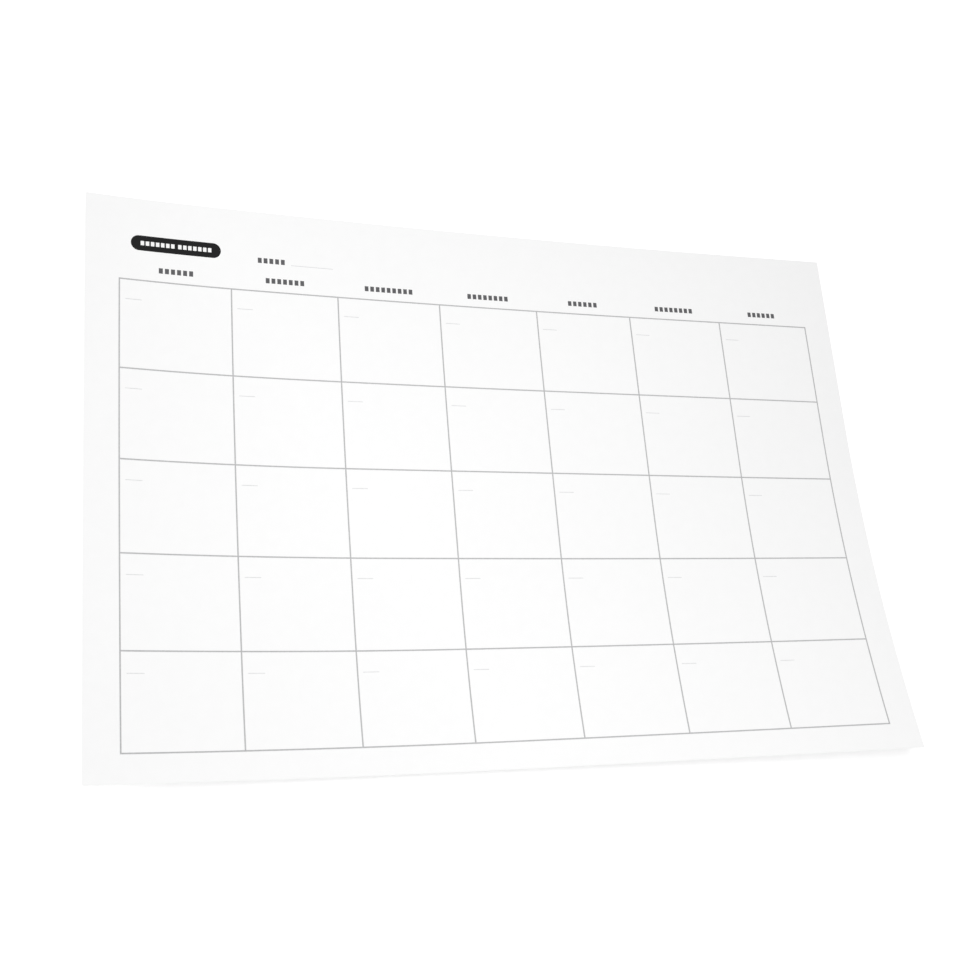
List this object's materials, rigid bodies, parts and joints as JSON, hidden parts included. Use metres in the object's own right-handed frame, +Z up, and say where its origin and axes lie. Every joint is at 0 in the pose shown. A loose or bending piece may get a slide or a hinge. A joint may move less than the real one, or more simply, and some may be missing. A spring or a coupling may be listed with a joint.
{
  "type": "wall calendar",
  "caption": "Single-sheet monthly wall calendar, a blank grid of days under a plain heading, lying face up with a gentle curl towards its corners.",
  "frame": {"origin": "on the table under the middle of the sheet, at the underside of its flat part", "axes": "+X along the sheet's width to the right of the page, +Y up the page towards the heading, +Z up out of the printed face"},
  "size_m": [0.42, 0.29, 0.0219],
  "materials": {
    "poster_paper": "matt, smooth coated white poster paper",
    "black_print": "matt, solid black print",
    "dark_grey_print": "matt, dark grey print",
    "mid_grey_print": "matt, mid grey print",
    "pale_grey_print": "matt, pale grey print"
  },
  "bodies": {
    "root": {"sheet": "poster_paper", "grid_lines": "mid_grey_print", "date_lines": "pale_grey_print", "title_badge": "black_print", "weekday_words": "dark_grey_print", "month_word": "dark_grey_print", "month_line": "pale_grey_print"}
  },
  "joints": []
}
